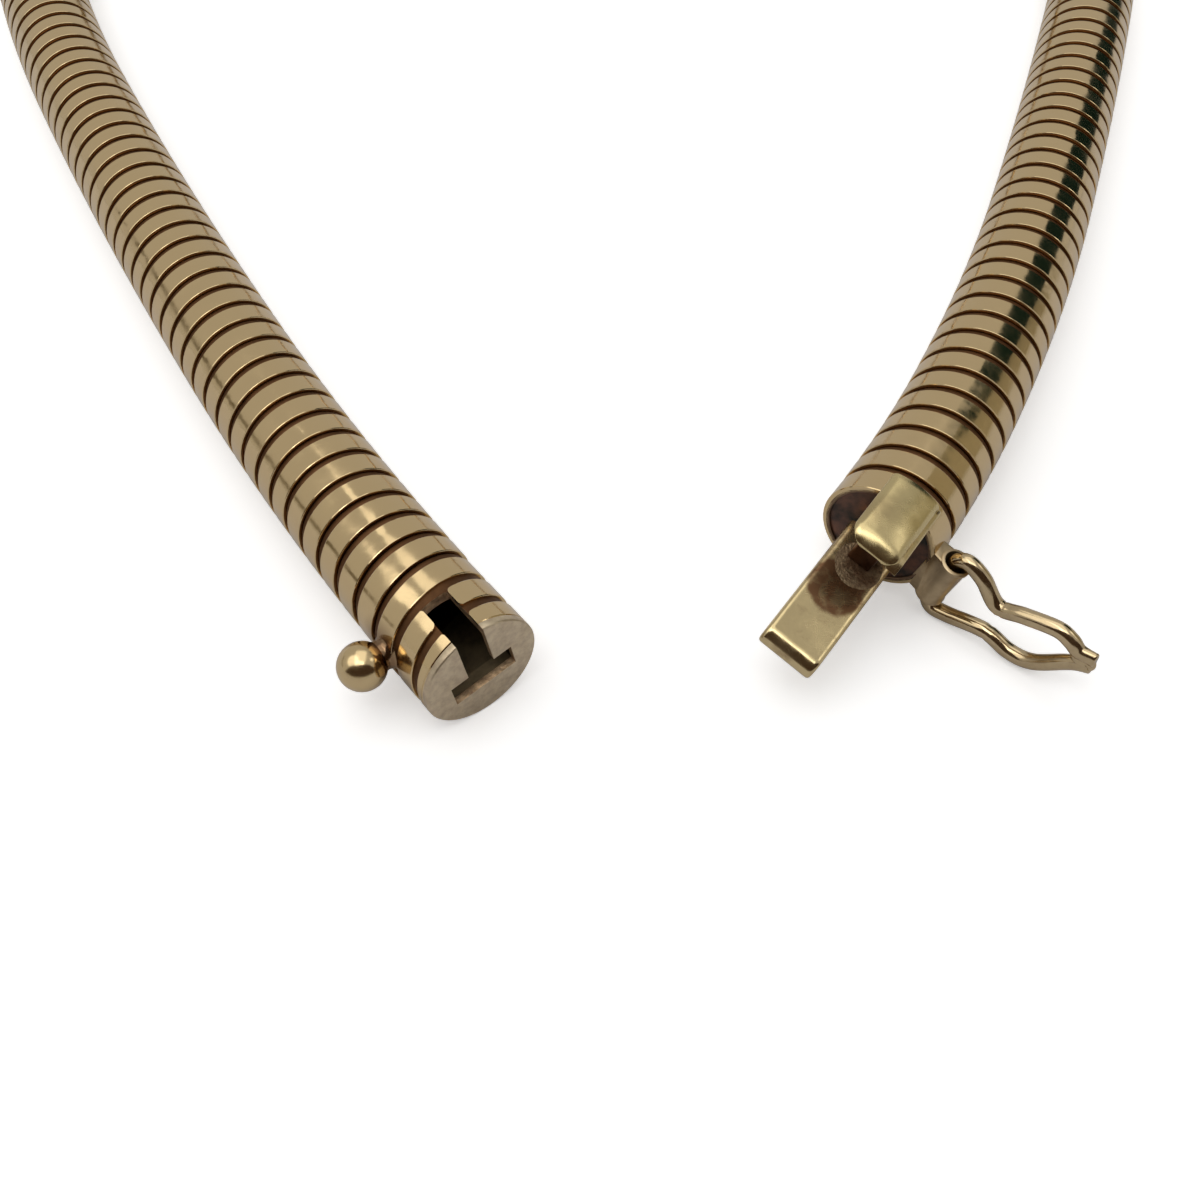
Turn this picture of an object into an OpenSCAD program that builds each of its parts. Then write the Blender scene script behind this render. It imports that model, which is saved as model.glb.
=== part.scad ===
/* [Chain] */
// Outer diameter of the wound tube
tube_d = 8; // [7:0.1:9]
// Width of the groove between two turns of the outer strip
groove_w = 0.62; // [0.3:0.01:0.8]
// Thickness of the outer strip
outer_wall = 0.35; // [0.25:0.01:0.35]
// Outer diameter of the inner strip, seen at the bottom of the grooves
inner_d = 7.04; // [6.8:0.01:7.1]
// Thickness of the inner strip
inner_wall = 0.25; // [0.2:0.01:0.4]
// Free turns of the outer strip between the two clasp ends
turn_count = 186; // [180:190]

/* [Lie] */
// Place of the socket end's face, left and right
start_x = -2.66; // [-20:0.01:20]
// Place of the socket end's face, front and back
start_y = -87.73; // [-120:0.01:0]
// Heading of the chain as it leaves the socket end
start_heading = 128.4; // [120:0.1:140]
// Height by which the tongue end stands off the table
tongue_lift = 1; // [0:0.1:1.5]

/* [Socket end] */
// Depth of the socket end, up to the end of its third band
socket_len = 6.07; // [5.8:0.01:6.5]
// Roll of the socket end about the chain, as it lies
socket_roll = 8.5; // [0:0.5:20]
// Thickness of the end plates
plate_t = 0.6; // [0.4:0.05:0.8]
// Bore of the chamber that takes the tongue
chamber_d = 6; // [5.6:0.1:6.2]
// Width of the slot for the tongue
slot_w = 4.5; // [4.3:0.05:4.7]
// Lower edge of the slot, from the tube's axis
slot_z0 = -1.42; // [-1.6:0.01:-1.4]
// Upper edge of the slot, from the tube's axis
slot_z1 = 0.39; // [0.3:0.01:0.45]
// Width of the notch for the thumb tab's stem
notch_w = 1.92; // [1.85:0.01:2.2]
// Length of the notch along the tube
notch_len = 3.8; // [3.7:0.01:3.88]
// Diameter of the soldered side ball
ball_d = 3.16; // [2.8:0.02:3.4]
// Distance of the ball's centre from the end face
ball_x = 4.8; // [4.6:0.05:5.2]
// Distance of the ball's centre from the tube's axis
ball_r = 5.55; // [5.4:0.05:5.8]
// Angle of the ball above the clasp's side
ball_angle = 9.5; // [5:0.5:15]
// Diameter of the ball's stalk
stalk_d = 1.5; // [1.2:0.1:2]

/* [Tongue end] */
// Depth of the tongue end, which is one band
tongue_end_len = 1.89; // [1.8:0.01:2.1]
// Roll of the tongue end about the chain, as it lies
tongue_roll = -19; // [-25:0.5:0]
// Depth of the plate inside its rim
plate_recess = 0.15; // [0.1:0.01:0.2]
// Width of the rim round the plate
rim_w = 0.3; // [0.2:0.05:0.4]
// Distance of the tongue's tip from the end face
tongue_len = 11.55; // [11:0.05:12]
// Width of the folded strip of the tongue
tongue_w = 3.9; // [3.7:0.05:4]
// Thickness of the folded strip
strip_t = 0.4; // [0.3:0.05:0.5]
// Lower face of the tongue, from the tube's axis
tongue_z = -1.35; // [-1.4:0.01:-1.3]
// Height of the round nose at the fold
nose_h = 1.5; // [1.4:0.02:1.6]
// Upper face of the press leaf at its free end, from the tube's axis
leaf_z = 0.68; // [0.6:0.01:0.75]
// Gap between the press leaf's free end and the plate
leaf_gap = 0.75; // [0.7:0.05:0.9]
// Gap between the press leaf's nose and the lower strip
fold_gap = 0.05; // [0.03:0.01:0.08]

/* [Thumb tab] */
// Width of the thumb tab
tab_w = 3.86; // [3.6:0.02:4]
// Shift of the thumb tab toward the hinge's side
tab_shift = 0.12; // [0:0.02:0.2]
// Front edge of the thumb tab, before the end face
tab_front = 4.75; // [4.5:0.05:5]
// Rear edge of the thumb tab, behind the end face
tab_rear = 1.25; // [1:0.05:1.5]
// Inner radius of the tab, which clears the tube as it is pressed
tab_r = 4.4; // [4.35:0.01:4.6]
// Thickness of the tab
tab_t = 0.4; // [0.3:0.02:0.5]
// Width of the stem under the tab
stem_w = 1.7; // [1.5:0.05:1.75]
// Front face of the stem, before the end face
stem_front = 3.3; // [3:0.05:3.6]
// Length of the stem along the tube
stem_len = 1.3; // [1:0.05:1.6]
// Length of the stem's soldered foot
foot_len = 2.2; // [1.5:0.1:2.5]
// Thickness of the foot
foot_t = 0.12; // [0.1:0.01:0.2]

/* [Hinge and catch] */
// Outer diameter of the hinge barrel
barrel_d = 1.86; // [1.5:0.02:1.9]
// Length of the hinge barrel
barrel_len = 4; // [3.8:0.1:4.4]
// Bore of the hinge barrel
barrel_bore = 1.24; // [1.2:0.01:1.3]
// Width of the barrel's flared mouth
mouth_d = 1.6; // [1.5:0.02:1.7]
// Depth of the barrel's flared mouth
mouth_len = 0.5; // [0.3:0.05:0.7]
// Distance of the barrel's axis behind the end face
barrel_x = 0.48; // [0.4:0.05:1]
// Distance of the barrel's axis from the tube's axis
barrel_r = 4.94; // [4.9:0.01:5.1]
// Angle of the barrel above the clasp's side
barrel_angle = 2.5; // [0:0.5:12]
// Diameter of the catch's wire
wire_d = 1.1; // [1:0.02:1.2]
// Swing of the catch from square to the tube, as it lies
catch_open = 6; // [0:0.5:20]

/* [Hidden] */
$fn = 64;
bend_facets = 128;

gold = "#c2a878";
dark_gold = "#5a3320";
bright_gold = "#cbb26c";

tube_r = tube_d / 2;
inner_r = inner_d / 2;
seat_gap = 0.1;
socket_groove_count = 2;
// Over-cut that keeps two faces from lying on each other in a cut
eps = 0.1;

// The loop, walked from the socket end: length of each stretch and its radius
STRETCH_LEN = 0;
STRETCH_R = 1;
stretches = [
  [35, 275],
  [40, 650],
  [20, 200],
  [45, 86],
  [152.4, 55.9],
  [55, 93],
  [35, 900],
  [25, 206],
  [15.3, 116]
];
// The stretches from this one on rise toward the tongue end
rise_from = 6;

function total(rows, n) = n == 0 ? 0 : total(rows, n - 1) + rows[n - 1][STRETCH_LEN];
stretch_count = len(stretches);
chain_len = total(stretches, stretch_count);
rise_angle = atan(tongue_lift / (chain_len - total(stretches, rise_from)));
turns_len = chain_len - socket_len - tongue_end_len - groove_w;
pitch = turns_len / turn_count;
band_w = pitch - groove_w;

// Frame after a walk of length d along an arc that bends to the right
function arc_step(d, r) =
  let (a = d / r * 180 / PI)
  [
    [cos(a), sin(a), 0, r * sin(a)],
    [-sin(a), cos(a), 0, -r * (1 - cos(a))],
    [0, 0, 1, 0],
    [0, 0, 0, 1]
  ];
function tilt_up(a) =
  [
    [cos(a), 0, -sin(a), 0],
    [0, 1, 0, 0],
    [sin(a), 0, cos(a), 0],
    [0, 0, 0, 1]
  ];
function first_frame() =
  [
    [cos(start_heading), -sin(start_heading), 0, start_x],
    [sin(start_heading), cos(start_heading), 0, start_y],
    [0, 0, 1, tube_r],
    [0, 0, 0, 1]
  ];
function stretch_frame(i) =
  (i == 0 ? first_frame() : end_frame(i - 1)) * tilt_up(i == rise_from ? rise_angle : 0);
function end_frame(i) =
  stretch_frame(i) * arc_step(stretches[i][STRETCH_LEN], stretches[i][STRETCH_R]);
stretch_frames = [for (i = [0:stretch_count - 1]) stretch_frame(i)];
stretch_starts = [for (i = [0:stretch_count - 1]) total(stretches, i)];

// Frame of the chain's axis at distance s from the socket face, +X along the chain
function chain_frame(s) =
  let (i = max([for (k = [0:stretch_count - 1]) s >= stretch_starts[k] ? k : 0]))
  stretch_frames[i] * arc_step(s - stretch_starts[i], stretches[i][STRETCH_R]);

function turn_start(i) = socket_len + groove_w + i * pitch;
half_turns = floor(turn_count / 2);

nose_r = nose_h / 2;
nose_x = tongue_len - nose_r;
nose_z = tongue_z + nose_r;
leaf_rise = (leaf_z - (tongue_z + nose_h)) / (nose_x - leaf_gap);
stem_x0 = stem_front - stem_len;
barrel_half = barrel_len / 2;
// Width and inner face of the solder seat between the barrel and the band
seat_w = 0.9;
seat_inner = 3.3;
// The catch's two pins inside the barrel
pin_d = wire_d + 0.02;
pin_len = 1.2;
pin_middle = 1.5;

// The catch's wire in its own plane: distance out from the hinge, distance up the hinge
OUT = 0;
UP = 1;
wire_points = [
  [0, 1.4],
  [0, 2.1],
  [0.6, 2.65],
  [1.9, 2.4],
  [3.7, 1.4],
  [5.3, 2.35],
  [7.2, 3.4],
  [8.9, 3.25],
  [9.9, 3.5],
  [10.2, 2.9],
  [9.2, 1.85],
  [7.7, -0.4],
  [6.2, -1.15],
  [4.2, -1.2],
  [1.8, -2.45],
  [0.7, -2.8],
  [0, -2.2],
  [0, -1.4]
];
wire_sides = 6;
wire_steps = 4;
wire_last = len(wire_points) - 1;

// Smooth curve through the wire's points
function wire_point(i) = wire_points[max(0, min(wire_last, i))];
function wire_mix(i, t) =
  let (p0 = wire_point(i - 1), p1 = wire_point(i), p2 = wire_point(i + 1), p3 = wire_point(i + 2))
  0.5 * (2 * p1 + (p2 - p0) * t + (2 * p0 - 5 * p1 + 4 * p2 - p3) * t * t
    + (3 * p1 - p0 - 3 * p2 + p3) * t * t * t);
wire_path = [
  for (i = [0:wire_last - 1])
    for (k = [0:wire_steps - 1])
      wire_mix(i, k / wire_steps),
  wire_points[wire_last]
];

function unit(v) = v / norm(v);
function path_dir(p, i) = unit(p[min(len(p) - 1, i + 1)] - p[max(0, i - 1)]);

// A round wire along a flat path, in the X-Z plane
module wire_sweep(path, d, sides) {
  n = len(path);
  points = [
    for (i = [0:n - 1])
      let (t = path_dir(path, i))
      for (k = [0:sides - 1])
        let (a = 360 * k / sides, across = d / 2 * cos(a))
        [path[i][OUT] - t[UP] * across, d / 2 * sin(a), path[i][UP] + t[OUT] * across]
  ];
  walls = [
    for (i = [0:n - 2])
      for (k = [0:sides - 1])
        let (k2 = (k + 1) % sides)
        [i * sides + k, i * sides + k2, (i + 1) * sides + k2, (i + 1) * sides + k]
  ];
  first_cap = [for (k = [sides - 1:-1:0]) k];
  last_cap = [for (k = [0:sides - 1]) (n - 1) * sides + k];
  polyhedron(points = points, faces = concat(walls, [first_cap], [last_cap]), convexity = 6);
}

// A cylinder along +X between two distances
module rod(x0, x1, r) {
  translate([x0, 0, 0])
    rotate([0, 90, 0])
      cylinder(h = x1 - x0, r = r);
}

module ring(x0, x1, r_out, r_in) {
  difference() {
    rod(x0, x1, r_out);
    rod(x0 - eps, x1 + eps, r_in);
  }
}

// A flat outline in the X-Z plane, given its width along Y
module side_profile(w) {
  translate([0, w / 2, 0])
    rotate([90, 0, 0])
      linear_extrude(w)
        children();
}

// Places what is drawn in the frame of the socket end: +X out of the end, +Z to the notch
module at_socket() {
  multmatrix(chain_frame(0))
    rotate([0, 0, 180])
      rotate([socket_roll, 0, 0])
        children();
}

// Places what is drawn in the frame of the tongue end: +X out of the end, +Z to the tab
module at_tongue() {
  multmatrix(chain_frame(chain_len))
    rotate([tongue_roll, 0, 0])
      children();
}

// Places what is drawn at the hinge: +X out of the tube, +Z along the barrel
module at_hinge() {
  at_tongue()
    rotate([barrel_angle, 0, 0])
      translate([-barrel_x, barrel_r, 0])
        rotate([0, 0, 90 - catch_open])
          children();
}

module free_turns(first, last) {
  for (i = [first:last])
    multmatrix(chain_frame(turn_start(i)))
      ring(0, band_w, tube_r, tube_r - outer_wall);
}

module outer_strip_left() {
  color(gold)
    free_turns(0, half_turns - 1);
}

module outer_strip_right() {
  color(gold)
    free_turns(half_turns, turn_count - 1);
}

// One bent stretch of the inner strip's tube, a seat gap short of the one before
module tube_arc(d, r) {
  a = d / r * 180 / PI;
  translate([0, -r, 0])
    rotate([0, 0, 90 - a])
      rotate_extrude(angle = a, $fn = bend_facets)
        translate([r, 0])
          difference() {
            circle(inner_r);
            circle(inner_r - inner_wall);
          }
}

module inner_strip() {
  color(dark_gold)
    for (i = [0:stretch_count - 1]) {
      before = i == 0 ? socket_len + seat_gap : seat_gap;
      after = i == stretch_count - 1 ? tongue_end_len + seat_gap : 0;
      multmatrix(stretch_frames[i] * arc_step(before, stretches[i][STRETCH_R]))
        tube_arc(stretches[i][STRETCH_LEN] - before - after, stretches[i][STRETCH_R]);
    }
}

module socket_end() {
  color(gold)
    at_socket()
      difference() {
        union() {
          rod(-socket_len, 0, tube_r);
          side_ball();
        }
        socket_grooves();
        socket_opening();
      }
}

module side_ball() {
  rotate([-ball_angle, 0, 0])
    translate([-ball_x, 0, 0])
      rotate([90, 0, 0]) {
        cylinder(h = ball_r, d = stalk_d);
        translate([0, 0, ball_r])
          sphere(d = ball_d);
      }
}

// The grooves between the socket end's three bands
module socket_grooves() {
  for (i = [1:socket_groove_count])
    let (x0 = -socket_len + i * pitch - groove_w)
    ring(x0, x0 + groove_w, tube_r + eps, tube_r - outer_wall);
}

// Slot, notch and chamber of the socket
module socket_opening() {
  rod(-socket_len - eps, -plate_t, chamber_d / 2);
  translate([-plate_t - eps, -slot_w / 2, slot_z0])
    cube([plate_t + 2 * eps, slot_w, slot_z1 - slot_z0]);
  translate([-notch_len, -notch_w / 2, slot_z1 - eps])
    cube([notch_len + eps, notch_w, tube_r]);
}

module tongue_end() {
  color(gold)
    at_tongue()
      difference() {
        union() {
          rod(-tongue_end_len, 0, tube_r);
          lower_strip();
          hinge_barrel();
        }
        plate_and_back();
        barrel_hole();
      }
}

// The recess before the plate and the hollow behind it
module plate_and_back() {
  difference() {
    rod(-plate_recess, eps, tube_r - rim_w);
    lower_strip();
  }
  rod(-tongue_end_len - eps, -plate_recess - plate_t, chamber_d / 2);
}

module lower_strip() {
  side_profile(tongue_w)
    translate([-plate_recess - plate_t / 2, tongue_z])
      square([nose_x - fold_gap + plate_recess + plate_t / 2, strip_t]);
}

// The hinge barrel and the solder seat that holds it to the band
module hinge_barrel() {
  rotate([barrel_angle, 0, 0]) {
    translate([-barrel_x, barrel_r, 0])
      cylinder(h = barrel_len, d = barrel_d, center = true);
    translate([-barrel_x - seat_w / 2, seat_inner, -barrel_half])
      cube([seat_w, barrel_r - seat_inner, barrel_len]);
  }
}

module barrel_hole() {
  rotate([barrel_angle, 0, 0])
    translate([-barrel_x, barrel_r, 0]) {
      cylinder(h = barrel_len + 2 * eps, d = barrel_bore, center = true);
      for (side = [-1, 1])
        translate([0, 0, side * (barrel_half + eps - mouth_len / 2)])
          cylinder(h = mouth_len, d = mouth_d, center = true);
    }
}

module press_leaf() {
  color(bright_gold)
    at_tongue() {
      side_profile(tongue_w) {
        leaf_outline();
        nose_outline();
      }
      thumb_tab();
      tab_stem();
    }
}

module leaf_outline() {
  top = tongue_z + nose_h;
  polygon([[nose_x, top - strip_t], [nose_x, top], [leaf_gap, leaf_z], [leaf_gap, leaf_z - strip_t]]);
}

// The half-round nose at the fold
module nose_outline() {
  translate([nose_x, nose_z])
    intersection() {
      difference() {
        circle(nose_r);
        circle(nose_r - strip_t);
      }
      translate([0, -nose_h])
        square([nose_h, 2 * nose_h]);
    }
}

module thumb_tab() {
  intersection() {
    ring(-tab_rear, tab_front, tab_r + tab_t, tab_r);
    translate([-2 * tab_rear, tab_shift - tab_w / 2, 0])
      cube([2 * tube_d, tab_w, tube_d]);
  }
}

module tab_stem() {
  translate([stem_x0, -stem_w / 2, leaf_height(stem_x0) - strip_t / 2])
    cube([stem_len, stem_w, tab_r + tab_t / 2 - leaf_height(stem_x0) + strip_t / 2]);
  translate([stem_front - eps, 0, 0])
    side_profile(stem_w)
      polygon([
        [0, leaf_height(stem_front) - strip_t / 2],
        [foot_len, leaf_height(stem_front + foot_len) - strip_t / 2],
        [foot_len, leaf_height(stem_front + foot_len) + foot_t],
        [0, leaf_height(stem_front) + foot_t]
      ]);
}

// Height of the press leaf's upper face at distance x before the end face
function leaf_height(x) = tongue_z + nose_h + leaf_rise * (nose_x - x);

module safety_catch() {
  color(gold)
    at_hinge() {
      wire_sweep(wire_path, wire_d, wire_sides);
      for (side = [-1, 1])
        translate([0, 0, side * pin_middle])
          cylinder(h = pin_len, d = pin_d, center = true);
    }
}

outer_strip_left();
outer_strip_right();
inner_strip();
socket_end();
tongue_end();
press_leaf();
safety_catch();
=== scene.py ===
import math

import bpy
from mathutils import Matrix, Vector


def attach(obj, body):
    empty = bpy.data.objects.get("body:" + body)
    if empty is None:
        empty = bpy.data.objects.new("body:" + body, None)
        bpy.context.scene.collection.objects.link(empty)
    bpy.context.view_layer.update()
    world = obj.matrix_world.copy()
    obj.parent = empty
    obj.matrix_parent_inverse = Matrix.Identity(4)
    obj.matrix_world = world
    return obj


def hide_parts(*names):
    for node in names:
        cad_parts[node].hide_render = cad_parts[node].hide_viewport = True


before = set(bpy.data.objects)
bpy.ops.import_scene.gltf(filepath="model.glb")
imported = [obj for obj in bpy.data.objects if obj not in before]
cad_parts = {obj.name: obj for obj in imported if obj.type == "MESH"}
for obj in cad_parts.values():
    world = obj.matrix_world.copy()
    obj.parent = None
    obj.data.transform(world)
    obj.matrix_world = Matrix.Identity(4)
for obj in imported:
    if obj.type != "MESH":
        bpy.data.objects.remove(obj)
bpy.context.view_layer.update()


# The table and the light
# The necklace lies on a plain white table in a pale room. Soft boxes hang overhead, at both sides
# and above the camera, and cloth cards the camera never sees draw the streaks in the polish.
# The necklace's own sizes are in millimetres, and those of the table, lamps and cards in metres
MM = 0.001
CLASP = (0, -0.08, 0.005)


def deselect():
    if bpy.context.mode != "OBJECT":
        bpy.ops.object.mode_set(mode="OBJECT")
    bpy.ops.object.select_all(action="DESELECT")


def make_active(piece):
    deselect()
    piece.select_set(True)
    bpy.context.view_layer.objects.active = piece


def seen_apart(tree, seen, met, output):
    """The camera sees one shader, and every other ray meets another."""
    ray_kind = tree.nodes.new("ShaderNodeLightPath")
    by_ray = tree.nodes.new("ShaderNodeMixShader")
    tree.links.new(ray_kind.outputs["Is Camera Ray"], by_ray.inputs["Fac"])
    tree.links.new(met.outputs[0], by_ray.inputs[1])
    tree.links.new(seen.outputs[0], by_ray.inputs[2])
    tree.links.new(by_ray.outputs["Shader"], output.inputs["Surface"])


def plain_material(name, color, roughness):
    material = bpy.data.materials.new(name)
    material.use_nodes = True
    shader = material.node_tree.nodes["Principled BSDF"]
    shader.inputs["Base Color"].default_value = (*color, 1)
    shader.inputs["Roughness"].default_value = roughness
    shader.inputs["Specular IOR Level"].default_value = 0
    return material


deselect()
bpy.ops.mesh.primitive_plane_add(size=30, location=(0, 0, 0))
table = bpy.context.object
table.name = "table"
table_white = plain_material("table_white", (0.63, 0.63, 0.66), 1)
nodes, links = table_white.node_tree.nodes, table_white.node_tree.links
seen_white = nodes.new("ShaderNodeBsdfDiffuse")
seen_white.inputs["Color"].default_value = (0.97, 0.97, 0.97, 1)
glow = nodes.new("ShaderNodeEmission")
glow.inputs["Strength"].default_value = 0.42
lit = nodes.new("ShaderNodeAddShader")
links.new(seen_white.outputs["BSDF"], lit.inputs[0])
links.new(glow.outputs["Emission"], lit.inputs[1])
seen_apart(table_white.node_tree, lit, nodes["Principled BSDF"], nodes["Material Output"])
table.data.materials.append(table_white)

room = bpy.data.worlds.new("room")
bpy.context.scene.world = room
room.use_nodes = True
nodes = room.node_tree.nodes
nodes["Background"].inputs["Color"].default_value = (0.47, 0.465, 0.46, 1)
seen_wall = nodes.new("ShaderNodeBackground")
seen_wall.inputs["Color"].default_value = (1, 1, 1, 1)
seen_apart(room.node_tree, seen_wall, nodes["Background"], nodes["World Output"])


def soft_box(name, place, aim, size, brightness, shape="RECTANGLE"):
    """A lamp behind cloth, as bright all over, which the camera doesn't see."""
    light = bpy.data.lights.new(name, "AREA")
    light.shape = shape
    light.size, light.size_y = size
    light.energy = brightness * math.pi * size[0] * size[1]
    lamp = bpy.data.objects.new(name, light)
    bpy.context.scene.collection.objects.link(lamp)
    lamp.location = place
    lamp.rotation_euler = (Vector(aim) - Vector(place)).to_track_quat("-Z", "Y").to_euler()
    lamp.visible_camera = False


soft_box("overhead_box", (0.0, 0.2, 0.9), (0.0, 0.2, 0), (0.8, 0.95), 0.7)
soft_box("left_box", (-0.465, -0.187, 0.768), CLASP, (0.84, 0.84), 0.7, "ELLIPSE")
soft_box("front_box", (-0.02, -0.42, 0.82), CLASP, (0.62, 0.32), 1.8)
soft_box("right_box", (0.674, 0.01, 0.608), CLASP, (0.2, 0.2), 1.0)


def card(name, corners, color, distance=0.7, seen_from=CLASP):
    """A cloth card whose corners are given by azimuth and elevation, in degrees, from a place."""
    deselect()
    bpy.ops.mesh.primitive_circle_add(vertices=len(corners), radius=1, fill_type="NGON")
    made = bpy.context.object
    made.name = name
    for vertex, (azimuth, elevation) in zip(made.data.vertices, corners):
        turn, rise = math.radians(azimuth), math.radians(elevation)
        vertex.co = Vector(seen_from) + distance * Vector(
            (math.sin(turn) * math.cos(rise), math.cos(turn) * math.cos(rise), math.sin(rise))
        )
    made.visible_camera = False
    made.data.materials.append(plain_material(name + "_cloth", color, 1))


# Where the streaks show on each arm of the loop
RIGHT_ARM = (0.031, -0.065, 0.009)
LEFT_ARM = (-0.02, -0.07, 0.008)
card(
    "right_card",
    ((36, 0), (48, 0), (55, 12), (61, 21.5), (64, 27), (60, 34), (46, 39.4), (35, 40), (37, 28)),
    (0.015, 0.035, 0.03),
    seen_from=RIGHT_ARM,
)
card(
    "brown_card",
    ((50, 36), (60, 2), (88, 2), (86, 30), (64, 42)),
    (0.6, 0.55, 0.41),
    distance=0.85,
    seen_from=RIGHT_ARM,
)
card(
    "left_card",
    ((-95, -1), (-62, 10), (-62, 15), (-95, 4)),
    (0.25, 0.22, 0.16),
    seen_from=LEFT_ARM,
)
card("sitter", ((108, 2), (246, 2), (236, 42), (118, 42)), (0.1, 0.065, 0.045), distance=0.4)

camera_data = bpy.data.cameras.new("camera")
camera_data.sensor_fit = "HORIZONTAL"
camera_data.sensor_width = 36
camera_data.lens = 39.78
camera_data.clip_start = 0.005
camera = bpy.data.objects.new("camera", camera_data)
bpy.context.scene.collection.objects.link(camera)
camera.location = Vector((4.476, -133.929, 70.099)) * MM
camera.rotation_euler = (math.radians(38.042), 0, 0)
bpy.context.scene.camera = camera
bpy.context.scene.view_settings.view_transform = "Standard"


# The wound outer strip
# A long flat gold strip is wound round a mandrel into an 8 mm tube, turn beside turn with a groove
# between, and its edges are rolled in. The tube bends freely, and the two halves meet at the back.
TUBE_R = 4.0
STRIP_T = 0.35
STRIP_EDGE = 0.06
GROOVE_W = 0.62
SOCKET_END_PLACE = (-2.66, -87.73, TUBE_R)
SOCKET_END_HEADING = 128.4
# Length of each stretch of the loop, and the radius it bends to
STRETCHES = (
    (35, 275),
    (40, 650),
    (20, 200),
    (45, 86),
    (152.4, 55.9),
    (55, 93),
    (35, 900),
    (25, 206),
    (15.3, 116),
)
# From this stretch on the tube rises, so the tongue end stands off the table
RISE_FROM = 6
TONGUE_LIFT = 1
TURNS = 186
TURN_STEPS = 60
# Distance from the end, then how far the turns lean sideways and lengthwise
SOCKET_SIDE_LEAN = (
    (0, 0, 0),
    (6, -0.1, -0.1),
    (14, 0.4, 0),
    (26, -0.15, -0.4),
    (45, -0.2, -0.5),
    (80, 0, 0),
)
TONGUE_SIDE_LEAN = (
    (0, 0.2, 0.3),
    (12, 0.4, 0.4),
    (30, 0.8, 0.7),
    (45, 0.9, 0.9),
    (80, 0, 0),
)
SOCKET_LEN = 6.07
TONGUE_END_LEN = 1.89

chain_len = sum(length for length, radius in STRETCHES)
pitch = (chain_len - SOCKET_LEN - TONGUE_END_LEN - GROOVE_W) / TURNS
band_w = pitch - GROOVE_W


def arc_step(length, radius):
    turn = length / radius
    step = Matrix.Rotation(-turn, 4, "Z")
    step.translation = (radius * math.sin(turn), -radius * (1 - math.cos(turn)), 0)
    return step


walk = Matrix.Translation(SOCKET_END_PLACE) @ Matrix.Rotation(
    math.radians(SOCKET_END_HEADING), 4, "Z"
)
rise_len = sum(length for length, radius in STRETCHES[RISE_FROM:])
stretch_frames = []
stretch_starts = []
walked = 0
for number, (length, radius) in enumerate(STRETCHES):
    if number == RISE_FROM:
        walk = walk @ Matrix.Rotation(-math.atan(TONGUE_LIFT / rise_len), 4, "Y")
    stretch_frames.append(walk)
    stretch_starts.append(walked)
    walk = walk @ arc_step(length, radius)
    walked += length


def chain_frame(s):
    """The tube's place and heading at a distance along it from the socket end."""
    at = max(n for n in range(len(STRETCHES)) if n == 0 or s >= stretch_starts[n])
    return stretch_frames[at] @ arc_step(s - stretch_starts[at], STRETCHES[at][1])


def guide_curve():
    path = bpy.data.curves.new("loop_guide", "CURVE")
    path.dimensions = "3D"
    path.twist_mode = "Z_UP"
    count = int(chain_len) + 1
    spline = path.splines.new("POLY")
    spline.points.add(count - 1)
    for n in range(count):
        spline.points[n].co = (*(chain_frame(chain_len * n / (count - 1)).translation * MM), 1)
    guide = bpy.data.objects.new("loop_guide", path)
    bpy.context.scene.collection.objects.link(guide)
    return guide


loop_guide = guide_curve()


def apply_modifiers(piece):
    make_active(piece)
    for modifier in list(piece.modifiers):
        bpy.ops.object.modifier_apply(modifier=modifier.name)


def close_ends(piece):
    make_active(piece)
    bpy.ops.object.mode_set(mode="EDIT")
    bpy.ops.mesh.select_all(action="SELECT")
    bpy.ops.mesh.remove_doubles(threshold=1e-7)
    bpy.ops.mesh.select_all(action="DESELECT")
    bpy.ops.mesh.select_mode(type="EDGE")
    bpy.ops.mesh.select_non_manifold(extend=False)
    bpy.ops.mesh.edge_face_add()
    bpy.ops.mesh.select_all(action="SELECT")
    bpy.ops.mesh.normals_make_consistent(inside=False)
    bpy.ops.object.mode_set(mode="OBJECT")


def wind_strip(name, start, turns, width, outer, thickness, edge):
    """A wound strip along +X whose first turn starts underneath, at distance start."""
    deselect()
    bpy.ops.mesh.primitive_plane_add(size=1, location=(0, 0, 0))
    strip = bpy.context.object
    strip.name = name
    bpy.ops.object.mode_set(mode="EDIT")
    bpy.ops.transform.resize(value=(width * MM, thickness * MM, 1))
    bpy.ops.transform.translate(
        value=((start + width / 2) * MM, (outer - thickness / 2) * MM, 0)
    )
    bpy.ops.transform.rotate(value=math.pi / 2, orient_axis="X", center_override=(0, 0, 0))
    bpy.ops.object.mode_set(mode="OBJECT")
    for vertex in strip.data.vertices:
        vertex.co.z = -abs(vertex.co.z)
        vertex.select = vertex.co.z < -(outer - thickness / 2) * MM
    bpy.ops.object.mode_set(mode="EDIT")
    bpy.ops.mesh.select_mode(type="VERT")
    bpy.ops.mesh.bevel(offset=edge * MM, segments=2, affect="VERTICES")
    bpy.ops.mesh.select_all(action="SELECT")
    bpy.ops.mesh.delete(type="ONLY_FACE")
    bpy.ops.object.mode_set(mode="OBJECT")
    winding = strip.modifiers.new("winding", "SCREW")
    winding.axis = "X"
    winding.angle = 2 * math.pi
    winding.screw_offset = pitch * MM
    winding.iterations = turns
    winding.steps = TURN_STEPS
    winding.render_steps = TURN_STEPS
    winding.use_merge_vertices = False
    apply_modifiers(strip)
    close_ends(strip)
    return strip


def lean(vertex, sideways, lengthwise):
    turn = math.atan2(vertex.co.z, vertex.co.y)
    vertex.co.x += (sideways * math.cos(turn) + lengthwise * (math.sin(turn) - 1)) * MM


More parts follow.
